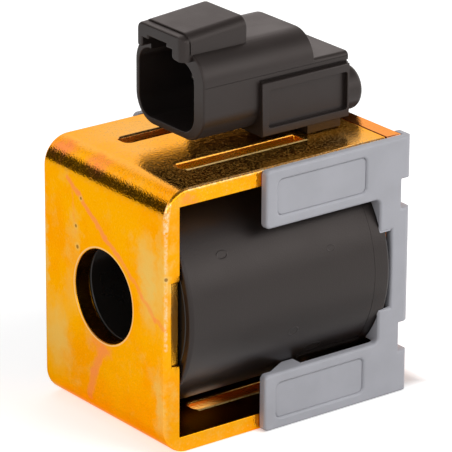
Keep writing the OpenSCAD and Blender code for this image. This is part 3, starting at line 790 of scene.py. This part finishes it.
def wire_material(name, colour, groups, turns):
    """Metal wire or plating; a winding shows its turns as fine ridges along the bore."""
    material, tree, shader, place_mm = start_material(name)
    grain = use_group(tree, groups["grain"], Place=place_mm, Pitch=2.0, Cloud=0.3)
    tone = smooth_step(tree, grain.outputs["Tone"], 0.3, 0.7)
    dark = tuple(c * 0.8 for c in colour)
    tree.links.new(blend_colours(tree, tone, dark, tuple(colour)), shader.inputs["Base Color"])
    shader.inputs["Metallic"].default_value = 1.0
    rough = smooth_step(tree, grain.outputs["Tone"], 0.3, 0.75, 0.22, 0.36)
    tree.links.new(rough, shader.inputs["Roughness"])
    height = math_of(tree, "MULTIPLY", grain.outputs["Height"], 0.01)
    if turns:
        wave = tree.nodes.new("ShaderNodeTexWave")
        wave.bands_direction = "X"
        wave.inputs["Scale"].default_value = 0.8
        tree.links.new(place_mm, wave.inputs["Vector"])
        height = raise_by(tree, height, wave.outputs["Fac"], 0.1)
    bump_into(tree, shader, height)
    return material


def shared_groups():
    """Node groups that the materials share, built once."""
    names = {"streak": ("line_stain", streak_group), "patch": ("oval_patch", patch_group),
             "zone": ("leg_zone", zone_group), "ring": ("round_mark", ring_group),
             "grain": ("moulded_grain", grain_group)}
    return {key: bpy.data.node_groups.get(label) or make() for key, (label, make) in names.items()}


# Pieces


class CoilStep:
    """Shared options of the operators."""

    bl_options = {"REGISTER", "UNDO"}


class MakeYoke(CoilStep, bpy.types.Operator):
    """Yoke with rolled strip edges and zinc with stains, wear and painted highlights."""

    bl_idname = "coil.make_yoke"
    bl_label = "Yoke"

    def execute(self, context):
        edges = context.scene.coil_edges
        half_width = YOKE_HIGH.y / MM
        half_height = YOKE_HIGH.z / MM

        def on_outer_rim(p):
            if abs(abs(p.y) - half_width) > 0.02:
                return False
            over = abs(p.z) - (half_height - FOLD_RADIUS)
            if p.x < FOLD_RADIUS and over > 0:
                return abs(math.hypot(FOLD_RADIUS - p.x, over) - FOLD_RADIUS) < 0.05
            return p.x < 0.02 or abs(abs(p.z) - half_height) < 0.02

        def on_slot_rim(p, level):
            inside = SLOT_ALONG[0] < p.x < SLOT_ALONG[1] and SLOT_ACROSS[0] < abs(p.y) < SLOT_ACROSS[1]
            return inside and abs(abs(p.z) - level) < 0.02

        yoke = copy_of_node("yoke_frame", "zinc_yoke")
        round_edges(yoke, edges.die_roll, 4, lambda a, b: on_outer_rim(a) and on_outer_rim(b))
        for level in (half_height - STRIP, half_height):
            round_edges(yoke, edges.slot_rim, 3,
                        lambda a, b: on_slot_rim(a, level) and on_slot_rim(b, level))
        soften(yoke, edges.steel_edge, 3)
        finish = zinc_material("zinc_stains_and_painted_light", context.scene.coil_colours.zinc_yellow, shared_groups(),
                               True)
        stand_for(yoke, "yoke_frame", "frame", finish)
        return {"FINISHED"}


class MakeEndPlate(CoilStep, bpy.types.Operator):
    """End plate with softened edges and a pinker zinc."""

    bl_idname = "coil.make_end_plate"
    bl_label = "End plate"

    def execute(self, context):
        plate = copy_of_node("end_plate", "zinc_end_plate")
        soften(plate, context.scene.coil_edges.steel_edge, 3)
        finish = zinc_material("pink_zinc", context.scene.coil_colours.plate_salmon, shared_groups(),
                               False)
        stand_for(plate, "end_plate", "plate", finish)
        return {"FINISHED"}


class MakeClips(CoilStep, bpy.types.Operator):
    """Two grey side clips with soft outer edges."""

    bl_idname = "coil.make_clips"
    bl_label = "Side clips"

    def execute(self, context):
        edges = context.scene.coil_edges
        finish = plastic_material("clip_plastic", context.scene.coil_colours.clip_grey, shared_groups(),
                                  0.5, 5.0, 0.006)
        outer = abs(CLIP_LOW.y) / MM
        for node, body, name in (("clip_near", "near_clip", "grey_clip_near"),
                                 ("clip_far", "far_clip", "grey_clip_far")):
            clip = copy_of_node(node, name)
            round_edges(clip, edges.clip_edge, 4,
                        lambda a, b: max(abs(abs(p.y) - outer) for p in (a, b)) < 0.02)
            soften(clip, edges.clip_fine_edge, 2)
            stand_for(clip, node, body, finish)
        return {"FINISHED"}


class MakeJacket(CoilStep, bpy.types.Operator):
    """Black coil jacket with its mould marks."""

    bl_idname = "coil.make_jacket"
    bl_label = "Coil jacket"

    def execute(self, context):
        finish = plastic_material("jacket_plastic", context.scene.coil_colours.jacket_black,
                                  shared_groups(), 0.34, 4.0, 0.02, MOULD_MARKS, WARM_SHEEN,
                                  underside=0.0)
        radius, seam = JACKET_HIGH.y / MM, JACKET_HIGH.x / MM - SEAM_INSET
        floor = radius - SOLID_SEAM_DEPTH

        def on_seam_floor(p):
            return abs(p.x - seam) < 0.1 and floor - 0.15 < math.hypot(p.y, p.z) < floor + 0.05

        jacket = copy_of_node("coil_jacket", "black_jacket")
        scale_ring(jacket, (radius - SEAM_DEPTH) / floor, on_seam_floor)
        soften(jacket, JACKET_EDGE * MM, 2)
        stand_for(jacket, "coil_jacket", "coil", finish)
        return {"FINISHED"}


class MakeConnector(CoilStep, bpy.types.Operator):
    """Connector with a rounded mouth and soft moulded edges."""

    bl_idname = "coil.make_connector"
    bl_label = "Connector"

    def execute(self, context):
        edges = context.scene.coil_edges
        finish = plastic_material("housing_plastic", context.scene.coil_colours.housing_black,
                                  shared_groups(), 0.4, 4.0, 0.012, (), WARM_SHEEN)
        housing = self.shell(edges)
        for part in (self.rear_block(edges), self.foot(), self.hood(edges), self.lip(),
                     self.spigot(), self.label_pad(edges, -1), self.label_pad(edges, 1)):
            combine(housing, part, "UNION")
        for cutter in self.cutters():
            combine(housing, cutter, "DIFFERENCE")
        close_gaps(housing)
        shade(housing)
        stand_for(housing, "connector_housing", "coil", finish)
        return {"FINISHED"}

    def shell(self, edges):
        """Round-cornered box with the socket in its front."""
        shell = block("black_connector", (RIM, -SHELL_HALF, SHELL_LOW),
                      (SHELL_REAR, SHELL_HALF, SHELL_TOP))
        round_edges(shell, SHELL_ROUND * MM, 12, along_x)
        round_edges(shell, edges.rim_edge, 4, at_front(RIM))
        round_edges(shell, edges.moulded_edge, 3, at_rear(SHELL_REAR))
        socket = block("socket", (RIM - 1, SOCKET_SHIFT - SOCKET_HALF, SOCKET_LOW),
                       (SOCKET_REAR, SOCKET_SHIFT + SOCKET_HALF, SOCKET_TOP))
        round_edges(socket, SOCKET_ROUND * MM, 12, along_x)
        combine(shell, socket, "DIFFERENCE")
        round_edges(shell, SOCKET_EDGE * MM, 3, at_front(RIM))
        return shell

    def rear_block(self, edges):
        """Low block behind the shell."""
        rear = block("rear_block", (SHELL_REAR - 2, -SHELL_HALF, SHELL_LOW),
                     (BLOCK_REAR, SHELL_HALF, BLOCK_TOP))
        round_edges(rear, 0.8 * MM, 4, lambda a, b: along_x(a, b) and a.z > SHELL_MID)
        round_edges(rear, edges.moulded_edge, 3, at_rear(BLOCK_REAR))
        return rear

    def foot(self):
        """Foot that stands over the top leg."""
        return block("foot", FOOT_LOW, FOOT_HIGH)

    def hood(self, edges):
        """Sloping cover over the latch's tunnel."""
        hood = block("hood", (HOOD_FRONT, -HOOD_HALF, HOOD_LOW), (HOOD_REAR, HOOD_HALF, HOOD_TOP))
        rise = (HOOD_REAR - HOOD_FRONT) * HOOD_SLOPE
        slide_corners(hood, (0, 0, rise), lambda p: p.x > HOOD_REAR - 0.1 and p.z > HOOD_TOP - 0.1)
        round_edges(hood, HOOD_ROUND * MM, 6, lambda a, b: along_x(a, b) and a.z > HOOD_TOP - 0.1)
        round_edges(hood, 0.5 * MM, 3, at_rear(HOOD_REAR))
        round_edges(hood, edges.moulded_edge, 2, at_front(HOOD_FRONT))
        return hood

    def lip(self):
        """Lower front end of the hood, round at its near corner, with two legs beside the tunnel."""
        lip = block("lip", (LIP_FRONT - 1, LIP_NEAR - 0.05, LIP_LOW), (LIP_REAR, LIP_FAR, LIP_TOP))
        slide_corners(lip, (0, 0, -LIP_DROP), lambda p: p.x < RIM and p.z > LIP_TOP - 0.1)
        for side, width, segments in ((-1, 1.75, 6), (1, 1.2, 5)):
            round_edges(lip, width * MM, segments,
                        lambda a, b: along_x(a, b) and a.z > LIP_TOP - 0.3 and a.y * side > 0)
        plan = block("lip_plan", (LIP_FRONT, LIP_NEAR, LIP_LOW - 1),
                     (RIM + 2, LIP_FAR + 0.7, LIP_TOP + 1))
        on_front = at_front(LIP_FRONT)
        round_edges(plan, LIP_CORNER * MM, 6,
                    lambda a, b: on_front(a, b) and max(a.y, b.y) < LIP_NEAR + 0.01)
        combine(lip, plan, "INTERSECT")
        for cutter in self.tunnel(LIP_FRONT - 1):
            combine(lip, cutter, "DIFFERENCE")
        for low, high, width in ((-4, 0, 0.8), (0, LIP_FAR + 1, 0.5)):
            round_edges(lip, width * MM, 4,
                        lambda a, b: along_x(a, b) and a.z < LIP_LOW + 0.1 and low < a.y < high)
        round_edges(lip, 0.3 * MM, 3,
                    lambda a, b: on_front(a, b) and max(a.y, b.y) > LIP_NEAR + LIP_CORNER + 0.05)
        return lip

    def spigot(self):
        """Round pin at the rear, with a rounded end."""
        deselect_all()
        front, tip = BLOCK_REAR - 2, HOUSING_HIGH.x / MM
        bpy.ops.mesh.primitive_cylinder_add(
            vertices=64, radius=SPIGOT_RADIUS * MM, depth=(tip - front) * MM,
            location=((front + tip) / 2 * MM, 0, SPIGOT_LEVEL * MM), rotation=(0, math.pi / 2, 0))
        pin = bpy.context.active_object
        bpy.ops.object.transform_apply(location=True, rotation=True, scale=True)
        round_edges(pin, 1.0 * MM, 5, at_rear(tip))
        return pin

    def label_pad(self, edges, side):
        """Raised pad with a bare sunken field, on one side of the shell."""

        def on_face(a, b):
            return all(abs(p.y - side * PAD_FACE) < 0.01 for p in (a, b))

        def on_field_edge(a, b):
            return all(PAD_FRONT + 1.3 < p.x < PAD_REAR - 0.45 and PAD_LOW + 1.3 < p.z < PAD_TOP - 1.3
                       for p in (a, b))

        pad = block("label_pad", *span_y((PAD_FRONT, PAD_LOW), (PAD_REAR, PAD_TOP),
                                         side * PAD_FACE, -side * 0.1))
        round_edges(pad, edges.moulded_edge, 2, on_face)
        field = block("field", *span_y((PAD_FRONT + FIELD_INSET, PAD_LOW + FIELD_INSET),
                                       (PAD_REAR - FIELD_REAR_INSET, PAD_TOP - FIELD_INSET),
                                       side * (PAD_FACE + 1), side * (PAD_FACE - FIELD_DEPTH)))
        round_edges(field, 0.45 * MM, 3, lambda a, b: abs(a.y - b.y) > 0.5)
        combine(pad, field, "DIFFERENCE")
        round_edges(pad, edges.moulded_edge / 2, 2, lambda a, b: on_face(a, b) and on_field_edge(a, b))
        return pad

    def tunnel(self, front):
        """Latch tunnel from a place along the bore, with a ledge at each side of its roof."""
        for half, roof in TUNNEL_STEPS:
            yield block("tunnel", (front, SOCKET_SHIFT - half, SHELL_MID),
                        (TUNNEL_REAR, SOCKET_SHIFT + half, roof))

    def cutters(self):
        """Latch tunnel, grooves behind the lip and above the pads, and the mould's parting lines."""
        yield from self.tunnel(HOOD_FRONT - 0.3)
        for side in (-1, 1):
            wall = side * SHELL_HALF
            yield block("lip_groove", *span_y((HOOD_FRONT, SHELL_TOP - 0.3),
                                              (HOOD_FRONT + 0.25, HOOD_TOP + 1),
                                              side * (HOOD_HALF + 0.8), side * (HOOD_HALF - 0.25)))
            yield block("pad_groove", *span_y((PAD_FRONT, PAD_TOP),
                                              (BLOCK_REAR + 1, PAD_TOP + GROOVE_SIZE),
                                              side * (SHELL_HALF + 1), side * (SHELL_HALF - GROOVE_SIZE)))
            yield block("seam", (RIM - 1, wall - PARTING_HALF, PARTING_LEVEL - PARTING_HALF),
                        (BLOCK_REAR + 1, wall + PARTING_HALF, PARTING_LEVEL + PARTING_HALF))


class FinishInside(CoilStep, bpy.types.Operator):
    """Materials of the bobbin, winding, tape, leads and terminals."""

    bl_idname = "coil.finish_inside"
    bl_label = "Inner pieces"

    def execute(self, context):
        colours = context.scene.coil_colours
        groups = shared_groups()
        finishes = {
            "winding": wire_material("wound_copper", colours.copper, groups, True),
            "winding_tape": plastic_material("amber_tape", colours.tape_amber, groups, 0.3, 1.2, 0.02),
            "start_lead": wire_material("lead_copper", colours.copper, groups, False),
            "terminal_near": wire_material("pin_tin", colours.tin, groups, False),
        }
        finishes["finish_lead"] = finishes["start_lead"]
        finishes["terminal_far"] = finishes["terminal_near"]
        bobbin = copy_of_node("bobbin", "black_bobbin")
        soften(bobbin, context.scene.coil_edges.moulded_edge * 1.5, 3)
        finish = plastic_material("bobbin_plastic", colours.bobbin_black, groups, 0.3, 4.0, 0.008)
        stand_for(bobbin, "bobbin", "coil", finish)
        for node, finish in finishes.items():
            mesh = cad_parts[node].data
            mesh.materials.clear()
            mesh.materials.append(finish)
        return {"FINISHED"}


# Stage


def background_share(tree, mirrored):
    """One where a ray looks at the background directly or through glass, less where it is mirrored."""
    path = tree.nodes.new("ShaderNodeLightPath")
    seen = math_of(tree, "MAXIMUM", path.outputs["Is Camera Ray"], path.outputs["Is Transmission Ray"])
    glossy = math_of(tree, "MULTIPLY", path.outputs["Is Glossy Ray"], mirrored)
    return math_of(tree, "MAXIMUM", seen, glossy)


def soft_lamp(name, location, target, size, power):
    """Square area lamp that points at a place."""
    data = bpy.data.lights.new(name, "AREA")
    data.shape = "SQUARE"
    data.size = size
    data.energy = power
    lamp = bpy.data.objects.new(name, data)
    bpy.context.scene.collection.objects.link(lamp)
    lamp.location = location
    lamp.rotation_mode = "QUATERNION"
    lamp.rotation_quaternion = (Vector(target) - Vector(location)).to_track_quat("-Z", "Y")
    return lamp


class SetStage(CoilStep, bpy.types.Operator):
    """Pale floor, soft light and the camera at the photograph's angle."""

    bl_idname = "coil.set_stage"
    bl_label = "Stage"

    def execute(self, context):
        self.lay_floor()
        self.stand_card()
        self.light(context.scene.coil_stage)
        self.aim_camera(context.scene.coil_stage)
        context.scene.view_settings.view_transform = "Standard"
        return {"FINISHED"}

    def lay_floor(self):
        """Wide floor under the part, white to the eye, with the lamps' shadow; its glow fades out round
        the part in a painted contact shadow, and in reflections it is darker beside the near side and
        brighter under the lower slot.
        """
        deselect_all()
        bpy.ops.mesh.primitive_plane_add(size=4.0, location=(0.02, 0, CAD_BOX[0].z - 0.00005))
        floor = bpy.context.active_object
        floor.name = "pale_floor"
        bpy.ops.object.transform_apply(location=True, rotation=True, scale=True)
        material = bpy.data.materials.new("floor_white")
        material.use_nodes = True
        tree = material.node_tree
        tree.nodes.clear()
        diffuse = tree.nodes.new("ShaderNodeBsdfDiffuse")
        diffuse.inputs["Color"].default_value = (0.8, 0.8, 0.8, 1)
        glow = tree.nodes.new("ShaderNodeEmission")
        place_m = tree.nodes.new("ShaderNodeTexCoord").outputs["Object"]
        shares = box_distance(tree, place_m, (0.038, 0, 0), (0.018, 0.018, 1.0))
        # Painted contact shadow: the floor's glow fades out under and around the part
        clear = smooth_step(tree, math_of(tree, "MAXIMUM", shares[0], shares[1]), 0.85, 1.1, 0.0, 0.6)
        # Painted shade in reflections: the floor mirrors darker beside the near side
        beside = oval_distance(tree, place_m, (0.047, -0.030, 0), (0.032, 0.019, 1.0))
        # Painted reflection: the floor mirrors brighter under the near lower slot
        under_slot = oval_distance(tree, place_m, (0.0155, -0.0115, 0), (0.007, 0.005, 1.0))
        mirrored = math_of(tree, "ADD", smooth_step(tree, beside, 0.5, 1.0, 0.0, 0.65),
                           smooth_step(tree, under_slot, 0.4, 1.0, 1.0, 0.0))
        share = background_share(tree, mirrored)
        tree.links.new(math_of(tree, "MULTIPLY", share, clear), glow.inputs["Strength"])
        both = tree.nodes.new("ShaderNodeAddShader")
        tree.links.new(diffuse.outputs[0], both.inputs[0])
        tree.links.new(glow.outputs[0], both.inputs[1])
        out = tree.nodes.new("ShaderNodeOutputMaterial")
        tree.links.new(both.outputs[0], out.inputs["Surface"])
        floor.data.materials.append(material)

    def stand_card(self):
        """Dark card at the far left, for the dark band that the folds mirror."""
        deselect_all()
        outward = Vector((-0.62, 0.74, 0)).normalized()
        low, high = CAD_BOX[0].z, 0.62
        turn = outward.to_track_quat("Z", "Y").to_euler()
        middle = outward * 1.1 + Vector((0, 0, (low + high) / 2))
        bpy.ops.mesh.primitive_plane_add(size=1.0, location=middle, rotation=turn)
        card = bpy.context.active_object
        card.name = "dark_card"
        card.scale = (1.0, high - low, 1)
        bpy.ops.object.transform_apply(location=True, rotation=True, scale=True)
        material = bpy.data.materials.new("card_black")
        material.use_nodes = True
        shader = next(n for n in material.node_tree.nodes if n.type == "BSDF_PRINCIPLED")
        shader.inputs["Base Color"].default_value = (0.1, 0.1, 0.085, 1)
        shader.inputs["Roughness"].default_value = 0.9
        shader.inputs["Specular IOR Level"].default_value = 0.0
        card.data.materials.append(material)
        card.visible_camera = False

    def light(self, stage):
        """Even light all round, brighter behind, and soft lamps from above and both sides."""
        world = bpy.data.worlds.new("studio")
        bpy.context.scene.world = world
        world.use_nodes = True
        tree = world.node_tree
        back = next(n for n in tree.nodes if n.type == "BACKGROUND")
        path = tree.nodes.new("ShaderNodeLightPath").outputs
        way = split_of(tree, tree.nodes.new("ShaderNodeTexCoord").outputs["Generated"])
        front = math_of(tree, "MULTIPLY", smooth_step(tree, way["Z"], 0.02, 0.25, 0.75, 1.95),
                        smooth_step(tree, way["Z"], 0.34, 0.74, 1.0, 0.3))
        behind = smooth_step(tree, way["Y"], -0.4, 0.3)
        before = math_of(tree, "MULTIPLY", front, math_of(tree, "SUBTRACT", 1.0, behind))
        level = raise_by(tree, before, behind, 1.12)
        mirrored = math_of(tree, "MULTIPLY", level, smooth_step(tree, way["Z"], 0.62, 0.82, 1.0, 0.2))
        share = background_share(tree, mirrored)
        plain = math_of(tree, "MULTIPLY", path["Is Diffuse Ray"], stage.ambient)
        tree.links.new(math_of(tree, "ADD", share, plain), back.inputs["Strength"])
        warm = math_of(tree, "MULTIPLY", path["Is Glossy Ray"], behind)
        tree.links.new(blend_colours(tree, warm, (1, 1, 1), WARM_BACKDROP), back.inputs["Color"])
        middle = (0.025, 0, 0.01)
        for lamp in (soft_lamp("key_lamp", (0.30, -0.50, 0.50), middle, 0.45, stage.key_power),
                     soft_lamp("fill_lamp", (-0.55, -0.25, 0.35), middle, 0.5, stage.fill_power),
                     soft_lamp("top_lamp", (0.12, 0.25, 0.75), middle, 0.5, stage.top_power)):
            lamp.visible_glossy = False

    def aim_camera(self, stage):
        """Camera fitted to the photograph, turned about its own place and not shifted."""
        azimuth, elevation, roll = (math.radians(a) for a in CAMERA_ANGLES)
        back = Vector((math.sin(azimuth) * math.cos(elevation), -math.cos(azimuth) * math.cos(elevation),
                       math.sin(elevation)))
        right = (-back).cross(Vector((0, 0, 1))).normalized()
        up = right.cross(-back)
        across = right * math.cos(roll) + up * math.sin(roll)
        upward = up * math.cos(roll) - right * math.sin(roll)
        eye = CAMERA_CENTRE + back * CAMERA_DISTANCE
        aim = CAMERA_CENTRE + across * AIM_ACROSS + upward * AIM_UP
        axis_z = (eye - aim).normalized()
        axis_x = upward.cross(axis_z).normalized()
        axis_y = axis_z.cross(axis_x)
        data = bpy.data.cameras.new("photo_camera")
        data.sensor_width = 36.0
        data.lens = stage.lens
        data.clip_start, data.clip_end = 0.01, 20.0
        camera = bpy.data.objects.new("photo_camera", data)
        bpy.context.scene.collection.objects.link(camera)
        turn = Matrix((axis_x, axis_y, axis_z)).transposed().to_4x4()
        camera.matrix_world = Matrix.Translation(eye * MM) @ turn
        bpy.context.scene.camera = camera


class CoilPanel(bpy.types.Panel):
    """Steps and settings of the coil."""

    bl_idname = "VIEW3D_PT_coil"
    bl_label = "Solenoid coil"
    bl_space_type = "VIEW_3D"
    bl_region_type = "UI"
    bl_category = "Coil"

    def draw(self, context):
        for operator in STEPS:
            self.layout.operator(operator.bl_idname)
        for group in (context.scene.coil_edges, context.scene.coil_colours, context.scene.coil_stage):
            box = self.layout.box()
            for name in group.bl_rna.properties.keys():
                if name not in ("rna_type", "name"):
                    box.prop(group, name)


STEPS = (MakeYoke, MakeEndPlate, MakeClips, MakeJacket, MakeConnector, FinishInside, SetStage)
CLASSES = (CoilEdges, CoilColours, CoilStage, *STEPS, CoilPanel)


def register():
    """Registers the classes and adds the settings to the scene."""
    for item in CLASSES:
        bpy.utils.register_class(item)
    bpy.types.Scene.coil_edges = bpy.props.PointerProperty(type=CoilEdges)
    bpy.types.Scene.coil_colours = bpy.props.PointerProperty(type=CoilColours)
    bpy.types.Scene.coil_stage = bpy.props.PointerProperty(type=CoilStage)


def unregister():
    """Takes the settings and the classes away again."""
    del bpy.types.Scene.coil_stage
    del bpy.types.Scene.coil_colours
    del bpy.types.Scene.coil_edges
    for item in reversed(CLASSES):
        bpy.utils.unregister_class(item)


def main():
    """Builds every piece and the stage."""
    register()
    bpy.ops.coil.make_yoke()
    bpy.ops.coil.make_end_plate()
    bpy.ops.coil.make_clips()
    bpy.ops.coil.make_jacket()
    bpy.ops.coil.make_connector()
    bpy.ops.coil.finish_inside()
    bpy.ops.coil.set_stage()
    bpy.context.view_layer.update()


if __name__ == "__main__":
    main()
